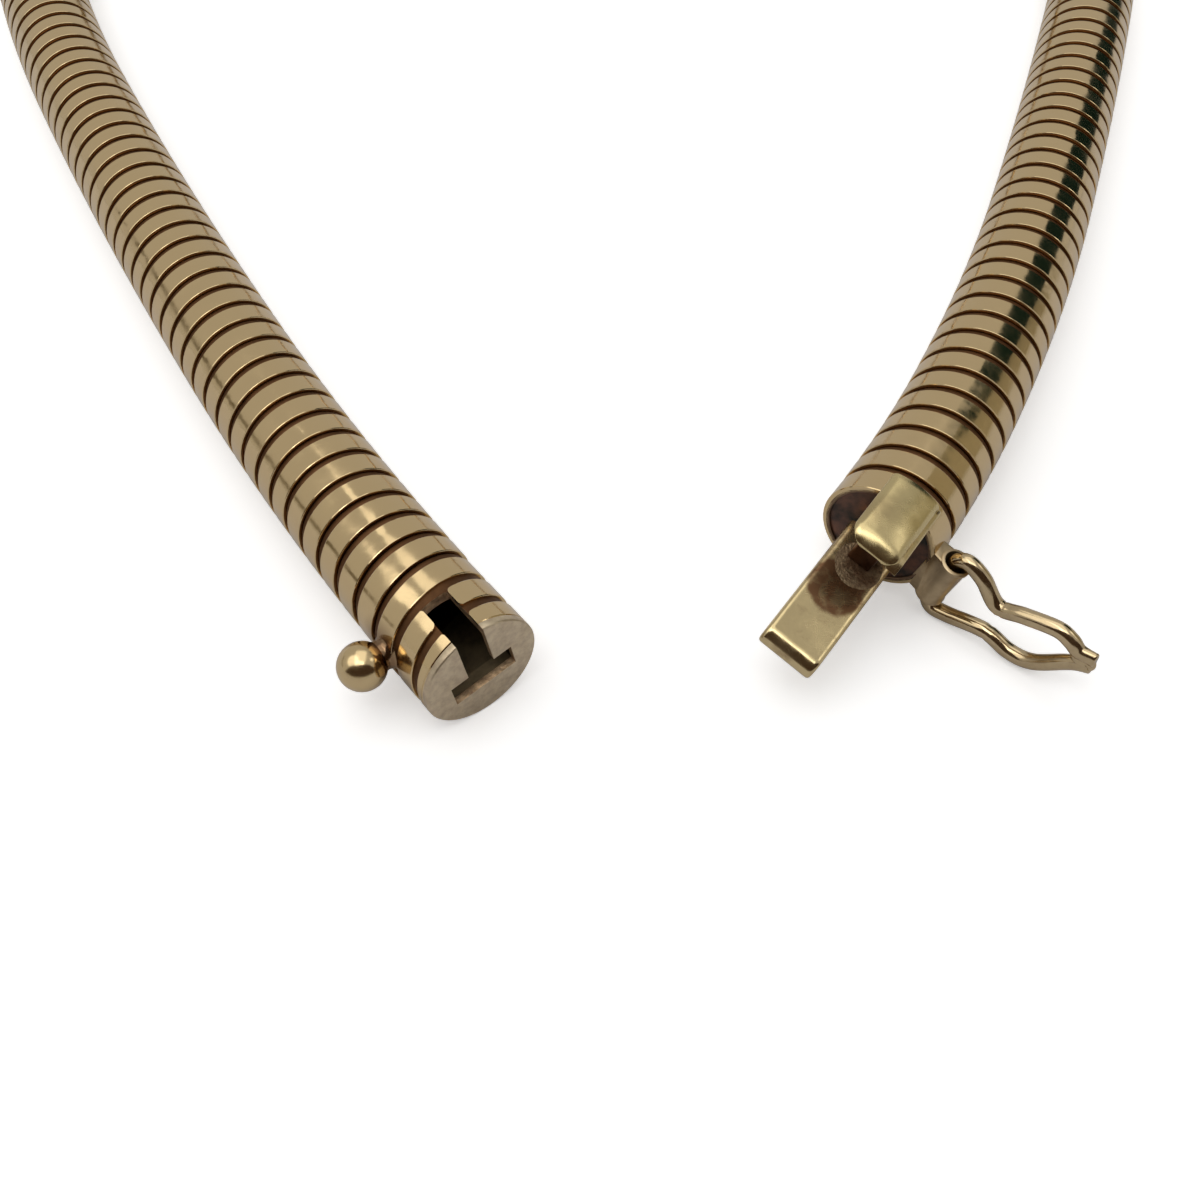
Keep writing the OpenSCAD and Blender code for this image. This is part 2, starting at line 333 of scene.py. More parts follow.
def lean_turns(strip):
    """The turns of a worn tube lean a little, sideways and lengthwise, near the clasp ends."""
    for vertex in strip.data.vertices:
        s = vertex.co.x / MM
        table = SOCKET_SIDE_LEAN if s < chain_len / 2 else TONGUE_SIDE_LEAN
        reach = s if s < chain_len / 2 else chain_len - s
        row = max(n for n in range(len(table) - 1) if n == 0 or reach >= table[n][0])
        near, far = table[row], table[row + 1]
        share = min(1, max(0, (reach - near[0]) / (far[0] - near[0])))
        sideways = near[1] + (far[1] - near[1]) * share
        lengthwise = near[2] + (far[2] - near[2]) * share
        lean(vertex, sideways, lengthwise)


def bend(piece):
    lie = piece.modifiers.new("lie", "CURVE")
    lie.object = loop_guide
    lie.deform_axis = "POS_X"
    apply_modifiers(piece)


def smooth(piece, angle=40):
    make_active(piece)
    bpy.ops.object.shade_smooth_by_angle(angle=math.radians(angle), keep_sharp_edges=False)


half_turns = TURNS // 2
# Underneath, the first free turn starts half a turn before its groove shows on top
first_free = SOCKET_LEN + GROOVE_W - pitch / 2


def new_group(name, inputs, outputs):
    """A shader group with the named inputs and outputs, each a Float, Vector or Color."""
    group = bpy.data.node_groups.new(name, "ShaderNodeTree")
    for way, sockets in (("INPUT", inputs), ("OUTPUT", outputs)):
        for socket_name, kind in sockets:
            group.interface.new_socket(
                name=socket_name, in_out=way, socket_type="NodeSocket" + kind
            )
    return group, group.nodes.new("NodeGroupInput"), group.nodes.new("NodeGroupOutput")


def calculated(tree, operation, *terms):
    """What a Math node makes of its terms, each a number or another node's output."""
    made = tree.nodes.new("ShaderNodeMath")
    made.operation = operation
    for socket, term in zip(made.inputs, terms):
        if isinstance(term, bpy.types.NodeSocket):
            tree.links.new(term, socket)
        else:
            socket.default_value = term
    return made.outputs[0]


def wear_group():
    """Fine scratches, polishing marks and soft dents that any handled gold shows."""
    group, given, result = new_group(
        "handled_gold",
        (
            ("Coordinates", "Vector"),
            ("Base Roughness", "Float"),
            ("Smudge", "Float"),
            ("Scratches", "Float"),
            ("Grain", "Float"),
        ),
        (("Roughness", "Float"), ("Height", "Float")),
    )
    nodes, links = group.nodes, group.links

    smudge = nodes.new("ShaderNodeTexNoise")
    smudge.inputs["Scale"].default_value = 420
    smudge.inputs["Detail"].default_value = 4
    smudge.inputs["Roughness"].default_value = 0.6
    links.new(given.outputs["Coordinates"], smudge.inputs["Vector"])
    smudge_mask = nodes.new("ShaderNodeMapRange")
    smudge_mask.inputs["From Min"].default_value = 0.42
    smudge_mask.inputs["From Max"].default_value = 0.66
    links.new(smudge.outputs["Fac"], smudge_mask.inputs["Value"])

    # Two crossing sets of hair scratches, each a thin level line of a stretched noise
    scratch_masks = []
    for turn, stretch in ((0.5, (900, 90, 500)), (-0.9, (120, 1100, 600))):
        placed = nodes.new("ShaderNodeMapping")
        placed.inputs["Rotation"].default_value = (0.3 * turn, 0.2, turn)
        placed.inputs["Scale"].default_value = stretch
        links.new(given.outputs["Coordinates"], placed.inputs["Vector"])
        lines = nodes.new("ShaderNodeTexNoise")
        lines.inputs["Scale"].default_value = 1
        lines.inputs["Detail"].default_value = 2
        links.new(placed.outputs["Vector"], lines.inputs["Vector"])
        level = calculated(group, "SUBTRACT", lines.outputs["Fac"], 0.5)
        off = calculated(group, "ABSOLUTE", level)
        thin = nodes.new("ShaderNodeMapRange")
        thin.inputs["From Min"].default_value = 0.0
        thin.inputs["From Max"].default_value = 0.012
        thin.inputs["To Min"].default_value = 1.0
        thin.inputs["To Max"].default_value = 0.0
        links.new(off, thin.inputs["Value"])
        scratch_masks.append(thin.outputs["Result"])
    both = calculated(group, "MAXIMUM", *scratch_masks)
    scratch = calculated(group, "MULTIPLY", both, given.outputs["Scratches"])

    dull = calculated(
        group,
        "MULTIPLY_ADD",
        smudge_mask.outputs["Result"],
        given.outputs["Smudge"],
        given.outputs["Base Roughness"],
    )
    links.new(calculated(group, "MULTIPLY_ADD", scratch, 0.15, dull), result.inputs["Roughness"])

    dents = nodes.new("ShaderNodeTexNoise")
    dents.inputs["Detail"].default_value = 2
    links.new(given.outputs["Grain"], dents.inputs["Scale"])
    links.new(given.outputs["Coordinates"], dents.inputs["Vector"])
    height = calculated(group, "MULTIPLY_ADD", scratch, -0.015, dents.outputs["Fac"])
    links.new(height, result.inputs["Height"])
    return group


handled_gold = wear_group()


def stain_group():
    """Brown tarnish and fire scale that gathers in patches."""
    group, given, result = new_group(
        "tarnish",
        (
            ("Coordinates", "Vector"),
            ("Gold", "Color"),
            ("Stain", "Color"),
            ("Where", "Float"),
            ("Patches", "Float"),
            ("Patch Size", "Float"),
        ),
        (("Color", "Color"), ("Mask", "Float")),
    )
    nodes, links = group.nodes, group.links
    cloud = nodes.new("ShaderNodeTexNoise")
    cloud.inputs["Detail"].default_value = 5
    cloud.inputs["Roughness"].default_value = 0.62
    links.new(given.outputs["Coordinates"], cloud.inputs["Vector"])
    links.new(given.outputs["Patch Size"], cloud.inputs["Scale"])
    spread = calculated(group, "SUBTRACT", cloud.outputs["Fac"], 0.5)
    patchy = calculated(
        group, "MULTIPLY_ADD", spread, given.outputs["Patches"], given.outputs["Where"]
    )
    clamped = nodes.new("ShaderNodeClamp")
    links.new(patchy, clamped.inputs["Value"])
    # A Mix node's colours go in at sockets 6 and 7 and come out at 2
    mixed = nodes.new("ShaderNodeMix")
    mixed.data_type = "RGBA"
    links.new(clamped.outputs["Result"], mixed.inputs["Factor"])
    links.new(given.outputs["Gold"], mixed.inputs[6])
    links.new(given.outputs["Stain"], mixed.inputs[7])
    links.new(mixed.outputs[2], result.inputs["Color"])
    links.new(clamped.outputs["Result"], result.inputs["Mask"])
    return group


tarnish = stain_group()


def crust_group():
    """Where fire scale lies thick, it is a dull crust and no longer quite metal."""
    group, given, result = new_group(
        "fire_scale",
        (("Mask", "Float"), ("Crust", "Float"), ("Roughness", "Float")),
        (("Roughness", "Float"), ("Metal", "Float")),
    )
    thick = calculated(group, "MULTIPLY", given.outputs["Mask"], given.outputs["Crust"])
    duller = calculated(group, "MULTIPLY_ADD", thick, 0.5, given.outputs["Roughness"])
    group.links.new(duller, result.inputs["Roughness"])
    group.links.new(calculated(group, "SUBTRACT", 1, thick), result.inputs["Metal"])
    return group


fire_scale = crust_group()


def gold_material(name, gold, stain, where, roughness, smudge=0.08, scratches=0.5,
                  patches=0.5, patch_size=900, bump=0.5, grain=420, crust=0):
    """Metal with handling marks and tarnish.

    Where is how much of the stain lies all over, crust how far the stain is no longer metal.
    """
    material = bpy.data.materials.new(name)
    material.use_nodes = True
    nodes, links = material.node_tree.nodes, material.node_tree.links
    shader = nodes["Principled BSDF"]
    place = nodes.new("ShaderNodeTexCoord")
    wear = nodes.new("ShaderNodeGroup")
    wear.node_tree = handled_gold
    wear.inputs["Base Roughness"].default_value = roughness
    wear.inputs["Smudge"].default_value = smudge
    wear.inputs["Scratches"].default_value = scratches
    wear.inputs["Grain"].default_value = grain
    links.new(place.outputs["Object"], wear.inputs["Coordinates"])
    links.new(wear.outputs["Roughness"], shader.inputs["Roughness"])
    shader.inputs["Metallic"].default_value = 1
    bumps = nodes.new("ShaderNodeBump")
    bumps.inputs["Strength"].default_value = bump
    bumps.inputs["Distance"].default_value = 0.1 * MM
    links.new(wear.outputs["Height"], bumps.inputs["Height"])
    links.new(bumps.outputs["Normal"], shader.inputs["Normal"])
    stains = nodes.new("ShaderNodeGroup")
    stains.name = "stains"
    stains.node_tree = tarnish
    stains.inputs["Gold"].default_value = (*gold, 1)
    stains.inputs["Stain"].default_value = (*stain, 1)
    stains.inputs["Where"].default_value = where
    stains.inputs["Patches"].default_value = patches
    stains.inputs["Patch Size"].default_value = patch_size
    links.new(place.outputs["Object"], stains.inputs["Coordinates"])
    links.new(stains.outputs["Color"], shader.inputs["Base Color"])
    if crust:
        scale = nodes.new("ShaderNodeGroup")
        scale.node_tree = fire_scale
        scale.inputs["Crust"].default_value = crust
        links.new(stains.outputs["Mask"], scale.inputs["Mask"])
        links.new(wear.outputs["Roughness"], scale.inputs["Roughness"])
        links.new(scale.outputs["Roughness"], shader.inputs["Roughness"])
        links.new(scale.outputs["Metal"], shader.inputs["Metallic"])
    return material


strip_gold = gold_material("strip_gold", (0.76, 0.57, 0.305), (0.2, 0.11, 0.065), -0.08, 0.1,
                           smudge=0.1, scratches=0.25, patches=0.5, patch_size=350, bump=0.42)

for name, first in (("outer_strip_left", 0), ("outer_strip_right", half_turns)):
    strip = wind_strip(
        "wound_" + name, first_free + first * pitch, half_turns, band_w, TUBE_R, STRIP_T, STRIP_EDGE
    )
    lean_turns(strip)
    bend(strip)
    smooth(strip, 14)
    strip.data.materials.append(strip_gold)
    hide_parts(name)
    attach(strip, "necklace")


# The wound inner strip
# A second strip, wound inside the first, bridges the grooves from within and holds the turns
# together. Its gold never meets a cloth, so it has tarnished, and its deep reddish brown is also
# painted shade for the dark deep in the grooves.
groove_gold = gold_material("groove_gold", (0.19, 0.09, 0.038), (0.055, 0.027, 0.014), 0.45, 0.45,
                            smudge=0.15, scratches=0.2, patches=0.9, patch_size=1200, bump=0.5)
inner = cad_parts["inner_strip"]
inner.data.materials.clear()
inner.data.materials.append(groove_gold)
RIDGE_W = 0.5
RIDGE_R = 3.8
RIDGE_T = 0.3
RIDGE_EDGE = 0.12
# The right half has one more turn, for the last groove
for name, first in (("left", 0), ("right", half_turns)):
    ridge = wind_strip(
        "inner_ridge_" + name,
        first_free - (GROOVE_W + RIDGE_W) / 2 + first * pitch,
        half_turns + (1 if first else 0),
        RIDGE_W,
        RIDGE_R,
        RIDGE_T,
        RIDGE_EDGE,
    )
    lean_turns(ridge)
    bend(ridge)
    smooth(ridge, 50)
    ridge.data.materials.append(groove_gold)
    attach(ridge, "necklace")


# The socket end
# Three turns of the tube and an end plate are soldered to a sleeve to make the clasp's box. The
# plate's slot and the notch behind it are cut through, and a ball on a stalk is soldered beside.
SOCKET_ROLL = 8.5
SOCKET_TURNS = 3
PLATE_W = 0.5
PLATE_ROUND = 0.14
CHAMBER_R = 3.0
SLOT_W = 4.5
SLOT_LOW = -1.42
SLOT_HIGH = 0.39
FLOOR_END = -1.25
FLOOR_T = 0.5
NOTCH_W = 1.92
NOTCH_LEN = 3.8
NOTCH_CORNER = 0.32
# The turns are cut back this much further than the sleeve under them
TURN_CUT_BACK = 0.25
# What is left at least of a turn whose edge is filed off
LEAST_WIDTH = 0.15
STRIP_MIDDLE_R = 3.83
BALL_R = 1.58
BALL_X = 4.8
BALL_OUT = 5.55
BALL_ANGLE = 9.5
STALK_FOOT = 3.3
STALK_LEN = 0.9
STALK_R = 1.0
STALK_FLARE = 0.62


def in_metres(matrix):
    placed = matrix.copy()
    placed.translation = placed.translation * MM
    return placed


def put(piece, matrix):
    """Sets a piece down in place and leaves its object at the origin."""
    make_active(piece)
    piece.matrix_world = in_metres(matrix)
    bpy.ops.object.transform_apply(location=True, rotation=True, scale=True)


def block(name, low, high):
    """A block between two corners, in millimetres."""
    deselect()
    low, high = Vector(low) * MM, Vector(high) * MM
    bpy.ops.mesh.primitive_cube_add(size=1, location=(low + high) / 2)
    made = bpy.context.object
    made.name = name
    made.scale = high - low
    bpy.ops.object.transform_apply(location=True, rotation=True, scale=True)
    return made


def rod(name, x0, x1, radius, sides=96):
    deselect()
    bpy.ops.mesh.primitive_cylinder_add(
        vertices=sides,
        radius=radius * MM,
        depth=(x1 - x0) * MM,
        location=((x0 + x1) / 2 * MM, 0, 0),
        rotation=(0, math.pi / 2, 0),
    )
    made = bpy.context.object
    made.name = name
    bpy.ops.object.transform_apply(location=True, rotation=True, scale=True)
    return made


def turned(name, profile, sides=48):
    """A turned solid along +Z, from rows of height and radius."""
    deselect()
    height, radius = profile[0]
    bpy.ops.mesh.primitive_circle_add(
        vertices=sides, radius=radius * MM, fill_type="NGON", location=(0, 0, height * MM)
    )
    made = bpy.context.object
    made.name = name
    bpy.ops.object.transform_apply(location=True, rotation=True, scale=True)
    bpy.ops.object.mode_set(mode="EDIT")
    bpy.ops.mesh.select_all(action="SELECT")
    for row in profile[1:]:
        bpy.ops.mesh.extrude_region_move(
            TRANSFORM_OT_translate={"value": (0, 0, (row[0] - height) * MM)}
        )
        bpy.ops.transform.resize(value=(row[1] / radius, row[1] / radius, 1))
        height, radius = row
    bpy.ops.mesh.select_all(action="SELECT")
    bpy.ops.mesh.normals_make_consistent(inside=False)
    bpy.ops.object.mode_set(mode="OBJECT")
    return made


def lump(name, size, place, pitch_angle=0):
    """A rounded lump of solder, given its half sizes."""
    deselect()
    bpy.ops.mesh.primitive_uv_sphere_add(segments=40, ring_count=20, radius=1)
    made = bpy.context.object
    made.name = name
    made.scale = Vector(size) * MM
    made.rotation_euler = (0, pitch_angle, 0)
    made.location = Vector(place) * MM
    bpy.ops.object.transform_apply(location=True, rotation=True, scale=True)
    smooth(made, 60)
    return made


def combine(piece, tool, operation):
    join = piece.modifiers.new(operation, "BOOLEAN")
    join.operation = operation
    join.solver = "EXACT"
    join.object = tool
    apply_modifiers(piece)


def cut_away(piece, *cutters):
    for cutter in cutters:
        combine(piece, cutter, "DIFFERENCE")


def soften(piece, width, segments=2, angle=50):
    """Breaks the sharp edges, as a file and a buff do."""
    edge = piece.modifiers.new("edge", "BEVEL")
    edge.width = width * MM
    edge.segments = segments
    edge.limit_method = "ANGLE"
    edge.angle_limit = math.radians(angle)
    edge.use_clamp_overlap = True
    apply_modifiers(piece)


def paint(piece, materials, choose):
    """Gives each face the material whose number choose returns for its middle and normal."""
    piece.data.materials.clear()
    for material in materials:
        piece.data.materials.append(material)
    for face in piece.data.polygons:
        face.material_index = choose(face.center / MM, face.normal)


def solder_together(name, pieces):
    make_active(pieces[0])
    for piece in pieces[1:]:
        piece.select_set(True)
    bpy.ops.object.join()
    pieces[0].name = name
    return pieces[0]


def drop(*objects):
    for made in objects:
        bpy.data.objects.remove(made)


def square_off(band, start, at, side):
    """Files one edge of a wound turn square to the tube, at a distance along +X."""
    for vertex in band.data.vertices:
        turn = (math.atan2(vertex.co.z, vertex.co.y) + math.pi / 2) % (2 * math.pi)
        middle = start + band_w / 2 + pitch * turn / (2 * math.pi)
        if side * (vertex.co.x / MM - middle) > 0:
            outside = math.hypot(vertex.co.y, vertex.co.z) > (TUBE_R - 0.02) * MM
            vertex.co.x = (at - (side * STRIP_EDGE if outside else 0)) * MM
        elif side * (vertex.co.x / MM - at) > -LEAST_WIDTH:
            vertex.co.x = (at - side * LEAST_WIDTH) * MM


def stain_and_shade_spot(material, place, near, far, amount):
    """Adds a round darkening about a place, in millimetres on the lying necklace; most are stains,
    and two are painted shade.
    """
    nodes, links = material.node_tree.nodes, material.node_tree.links
    away = nodes.new("ShaderNodeVectorMath")
    away.operation = "DISTANCE"
    away.inputs[1].default_value = Vector(place) * MM
    links.new(nodes["Texture Coordinate"].outputs["Object"], away.inputs[0])
    fade = nodes.new("ShaderNodeMapRange")
    fade.interpolation_type = "SMOOTHSTEP"
    fade.inputs["From Min"].default_value = near * MM
    fade.inputs["From Max"].default_value = far * MM
    fade.inputs["To Min"].default_value = amount
    fade.inputs["To Max"].default_value = 0
    links.new(away.outputs["Value"], fade.inputs["Value"])
    where = nodes["stains"].inputs["Where"]
    already = where.links[0].from_socket if where.is_linked else where.default_value
    links.new(calculated(material.node_tree, "ADD", fade.outputs["Result"], already), where)


def rolled(degrees):
    """A turn about the tube's own axis."""
    return Matrix.Rotation(math.radians(degrees), 4, "X")


at_socket = chain_frame(0) @ Matrix.Rotation(math.pi, 4, "Z") @ rolled(SOCKET_ROLL)
slot_cutter = block(
    "slot_cutter",
    (-PLATE_W - 0.1, -SLOT_W / 2, SLOT_LOW),
    (0.1, SLOT_W / 2, SLOT_HIGH),
)
notch_cutter = block(
    "notch_cutter",
    (-NOTCH_LEN, -NOTCH_W / 2, SLOT_HIGH - 0.1),
    (0.1, NOTCH_W / 2, TUBE_R + 1),
)


def round_notch_corner(bands, x, side, toward):
    """Rounds one corner of a turn where the notch cuts it; toward is the way its metal lies."""
    # The turns wind on a little from the middle of the notch to its side
    roll = math.radians(SOCKET_ROLL)
    across = side * NOTCH_W / 2 * math.cos(roll) - STRIP_MIDDLE_R * math.sin(roll)
    x -= pitch * (math.atan2(STRIP_MIDDLE_R, -across) / (2 * math.pi) - 0.25)
    wedge = block("wedge", (-0.1, -0.1, 3), (NOTCH_CORNER, NOTCH_CORNER, 5))
    pillar = turned("pillar", [(2, NOTCH_CORNER), (6, NOTCH_CORNER)])
    put(pillar, Matrix.Translation((NOTCH_CORNER, NOTCH_CORNER, 0)))
    cut_away(wedge, pillar)
    for vertex in wedge.data.vertices:
        vertex.co.x = x * MM + toward * vertex.co.x
        vertex.co.y = side * (NOTCH_W / 2 * MM + vertex.co.y)
    make_active(wedge)
    bpy.ops.object.mode_set(mode="EDIT")
    bpy.ops.mesh.select_all(action="SELECT")
    bpy.ops.mesh.normals_make_consistent(inside=False)
    bpy.ops.object.mode_set(mode="OBJECT")
    cut_away(bands, wedge)
    drop(wedge, pillar)


# The turns are wound as on the tube, turned to face out of the end, then cut off at the plate
socket_turns = []
band_notch = block(
    "band_notch",
    (-NOTCH_LEN - TURN_CUT_BACK, -NOTCH_W / 2, SLOT_HIGH - 0.1),
    (0.1, NOTCH_W / 2, TUBE_R + 1),
)
for number in range(SOCKET_TURNS):
    start = first_free - (SOCKET_TURNS - number) * pitch
    band = wind_strip("socket_turn", start, 1, band_w, TUBE_R, STRIP_T, STRIP_EDGE)
    if number == 0:
        square_off(band, start, PLATE_W + 0.05, -1)
    put(band, Matrix.Rotation(math.pi, 4, "Z"))
    put(band, rolled(-SOCKET_ROLL))
    # The notch reaches into the two turns nearest the plate
    if number < 2:
        cut_away(band, band_notch)
        for side in (-1, 1):
            round_notch_corner(band, -start - pitch / 2 - band_w, side, 1)
            if number == 1:
                round_notch_corner(band, -start - pitch / 2, side, -1)
    socket_turns.append(band)
drop(band_notch)
socket_bands = solder_together("socket_bands", socket_turns)
soften(socket_bands, STRIP_EDGE)
smooth(socket_bands, 14)
socket_bands.data.materials.append(strip_gold)
stalk_root = at_socket @ rolled(-BALL_ANGLE) @ Vector((-BALL_X, -TUBE_R, 0))
stain_and_shade_spot(strip_gold, stalk_root, 0.9, 2.9, 0.85)

clasp_satin = gold_material("clasp_satin", (0.76, 0.63, 0.43), (0.4, 0.28, 0.18), 0.2, 0.34,
                            smudge=0.14, scratches=0.6, patches=1.5, patch_size=1900, bump=0.75,
                            grain=900)
# Painted shade: this dark brown stands for the shade inside the sleeve, on the slot's floor, in the
# barrel's bore and in a pit
chamber_shade = gold_material("chamber_shade", (0.24, 0.18, 0.1), (0.04, 0.035, 0.025), 0.35, 0.5,
                             smudge=0.1, scratches=0.2, patches=1.5, patch_size=900, bump=0.5)
cut_gold = gold_material("cut_gold", (0.8, 0.58, 0.35), (0.16, 0.08, 0.05), 0.4, 0.5,
                         smudge=0.2, scratches=0.6, patches=2.2, patch_size=1600, bump=0.9,
                         grain=2200)
sleeve = rod("socket_sleeve", -SOCKET_LEN, -PLATE_W, RIDGE_R)
bore = rod("socket_bore", -SOCKET_LEN - 0.1, 0.1 - PLATE_W, CHAMBER_R)
cut_away(sleeve, bore, notch_cutter)


def sleeve_face(middle, normal):
    """The sleeve is the grooves' dark brown outside, filed where the notch cuts it, and painted
    dark within, as painted shade.
    """
    reach = math.hypot(middle.y, middle.z)
    if reach > RIDGE_R - 0.05:
        return 0
    return 1 if abs(normal.y) > 0.99 or abs(normal.x) > 0.99 else 2


paint(sleeve, (groove_gold, cut_gold, chamber_shade), sleeve_face)
smooth(sleeve, 30)

# The tongue runs in over a short floor behind the plate, painted dark for the shade inside the box
slot_floor = block(
    "slot_floor",
    (FLOOR_END, -SLOT_W / 2, SLOT_LOW - FLOOR_T),
    (-PLATE_W, SLOT_W / 2, SLOT_LOW),
)
slot_floor.data.materials.append(chamber_shade)

plate_profile = [(-PLATE_W, TUBE_R), (-PLATE_ROUND, TUBE_R)]
for step in range(1, 6):
    turn = math.radians(18 * step)
    plate_profile.append(
        (-PLATE_ROUND * (1 - math.sin(turn)), TUBE_R - PLATE_ROUND * (1 - math.cos(turn)))
    )
plate = turned("socket_plate", plate_profile, 128)
put(plate, Matrix.Rotation(math.pi / 2, 4, "Y"))
cut_away(plate, slot_cutter, notch_cutter)
soften(plate, 0.07, segments=3)
smooth(plate, 40)


def plate_face(middle, normal):
    """The filed edges of the slot and notch are duller and darker than the face."""
    inside = math.hypot(middle.y, middle.z) < TUBE_R - 0.2
    return 1 if inside and -PLATE_W + 0.01 < middle.x < -0.09 and abs(normal.x) < 0.1 else 0


paint(plate, (clasp_satin, cut_gold), plate_face)

ball_gold = gold_material("ball_gold", (0.74, 0.56, 0.3), (0.17, 0.08, 0.045), -0.12, 0.13,
                          smudge=0.1, scratches=0.3, patches=0.6, patch_size=600, bump=0.5)
stain_and_shade_spot(ball_gold, stalk_root, 0.8, 2.5, 0.95)
ball_profile = []
for step in range(12):
    share = step / 12
    ball_profile.append(
        (STALK_FOOT + STALK_LEN * share**0.6, STALK_R + STALK_FLARE * (1 - share) ** 2.4)
    )
for step in range(4, 19):
    turn = math.radians(10 * step)
    ball_profile.append(
        (BALL_OUT - BALL_R * math.cos(turn), max(0.01, BALL_R * math.sin(turn)))
    )
ball = turned("side_ball", ball_profile)
put(ball, rolled(-BALL_ANGLE) @ Matrix.Translation((-BALL_X, 0, 0)) @ rolled(90))
smooth(ball, 40)
ball.data.materials.append(ball_gold)

drop(slot_cutter, notch_cutter, bore)
socket = solder_together("socket_clasp", [socket_bands, sleeve, slot_floor, plate, ball])
put(socket, at_socket)
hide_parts("socket_end")
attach(socket, "necklace")


# The tongue end
# The other end is closed by a plate set back inside its rim. The lower half of the tongue is
# soldered to the plate, and a short piece of tube, the barrel of the catch's hinge, to the side.
TONGUE_ROLL = -19
PLATE_BACK = 0.15
BACK_PLATE_T = 0.6
RIM_BORE_R = 3.5
# The plate is let into the rim a little
BACK_PLATE_R = 3.56
TONGUE_W = 3.9
TONGUE_T = 0.4
TONGUE_LOW = -1.35
NOSE_R = 0.75
NOSE_X = 10.8
BARREL_X = -0.48
BARREL_OUT = 4.94
BARREL_ANGLE = 2.5
BARREL_R = 0.93
BARREL_HALF = 2.0
BARREL_BURR = 0.1

at_tongue = chain_frame(chain_len) @ rolled(TONGUE_ROLL)
at_barrel = rolled(BARREL_ANGLE) @ Matrix.Translation((BARREL_X, BARREL_OUT, 0))

start = first_free + TURNS * pitch - chain_len
tongue_band = wind_strip("tongue_band", start, 1, band_w, TUBE_R, STRIP_T, STRIP_EDGE)
for vertex in tongue_band.data.vertices:
    lean(vertex, TONGUE_SIDE_LEAN[0][1], TONGUE_SIDE_LEAN[0][2])
square_off(tongue_band, start, 0, 1)
put(tongue_band, rolled(-TONGUE_ROLL))
smooth(tongue_band, 14)
tongue_band.data.materials.append(strip_gold)

rim = rod("tongue_rim", -TONGUE_END_LEN, 0, RIDGE_R)
bore = rod("tongue_bore", -TONGUE_END_LEN - 0.1, 0.1, RIM_BORE_R)
cut_away(rim, bore)
drop(bore)
soften(rim, 0.06, segments=3)
smooth(rim, 40)
rim_gold = gold_material("rim_gold", (0.4, 0.28, 0.17), (0.15, 0.09, 0.055), 0.75, 0.3,
                         smudge=0.14, scratches=0.4, patches=1.8, patch_size=500, bump=0.6)
rim.data.materials.append(rim_gold)

back_plate = rod("tongue_plate", -BACK_PLATE_T - PLATE_BACK, -PLATE_BACK, BACK_PLATE_R)
smooth(back_plate, 40)
oxide = gold_material("oxidised_plate", (0.23, 0.115, 0.075), (0.045, 0.047, 0.042), 0.55, 0.36,
                      smudge=0.2, scratches=0.5, patches=3.2, patch_size=420, bump=0.8, crust=0.15)
back_plate.data.materials.append(oxide)

leaf_gold = gold_material("leaf_gold", (0.73, 0.58, 0.31), (0.2, 0.1, 0.045), -0.12, 0.15,
                          smudge=0.12, scratches=0.45, patches=1.8, patch_size=1000, bump=0.5,
                          crust=0.22)
lower_strip = block(
    "tongue_lower",
    (-PLATE_BACK - 0.3, -TONGUE_W / 2, TONGUE_LOW),
    (NOSE_X + 0.02, TONGUE_W / 2, TONGUE_LOW + TONGUE_T),
)
soften(lower_strip, 0.07)
smooth(lower_strip, 40)
lower_strip.data.materials.append(leaf_gold)

# A web of solder fills in between the rim and the barrel, and widens toward the barrel
web = block("barrel_web", (-1.45, 3.3, -1.9), (-0.05, BARREL_OUT, 1.9))
for vertex in web.data.vertices:
    if vertex.co.y > 4 * MM:
        vertex.co.x = (-1.36 if vertex.co.x < -1 * MM else 0.4) * MM
soften(web, 0.12)
put(web, rolled(BARREL_ANGLE))
# The mouths are opened a little with a burr, and stand out as round rings
barrel_profile = [
    (-BARREL_HALF, BARREL_R),
    (-BARREL_HALF + 0.06, BARREL_R + BARREL_BURR),
    (-BARREL_HALF + 0.28, BARREL_R + BARREL_BURR),
    (-BARREL_HALF + 0.5, BARREL_R),
    (BARREL_HALF - 0.5, BARREL_R),
    (BARREL_HALF - 0.28, BARREL_R + BARREL_BURR),
    (BARREL_HALF - 0.06, BARREL_R + BARREL_BURR),
    (BARREL_HALF, BARREL_R),
]
barrel = turned("hinge_barrel", barrel_profile)
put(barrel, at_barrel)
barrel_bore = turned(
    "barrel_bore",
    [(-2.1, 0.87), (-2.0, 0.83), (-1.5, 0.62), (1.5, 0.62), (2.0, 0.83), (2.1, 0.87)],
)
put(barrel_bore, at_barrel)
combine(barrel, web, "UNION")
cut_away(barrel, barrel_bore)
drop(barrel_bore, web)
# The cuts leave slivers where the web meets the barrel
make_active(barrel)
bpy.ops.object.mode_set(mode="EDIT")
bpy.ops.mesh.select_all(action="SELECT")
bpy.ops.mesh.remove_doubles(threshold=1e-6)
bpy.ops.mesh.dissolve_degenerate(threshold=1e-6)
bpy.ops.object.mode_set(mode="OBJECT")
smooth(barrel, 35)
barrel_gold = gold_material("barrel_gold", (0.7, 0.55, 0.33), (0.28, 0.18, 0.1), 0.3, 0.28,
                            smudge=0.14, scratches=0.4, patches=1.2, patch_size=600, bump=0.5)


def barrel_face(middle, normal):
    """The bore is painted dark, for the shade inside it."""
    inside = at_barrel.inverted() @ middle
    reach = math.hypot(inside.x, inside.y)
    return 1 if reach < 0.75 and abs(inside.z) < 1.95 else 0


paint(barrel, (barrel_gold, chamber_shade), barrel_face)

tongue = solder_together("tongue_clasp", [tongue_band, rim, back_plate, lower_strip, barrel])
put(tongue, at_tongue)
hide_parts("tongue_end")
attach(tongue, "necklace")


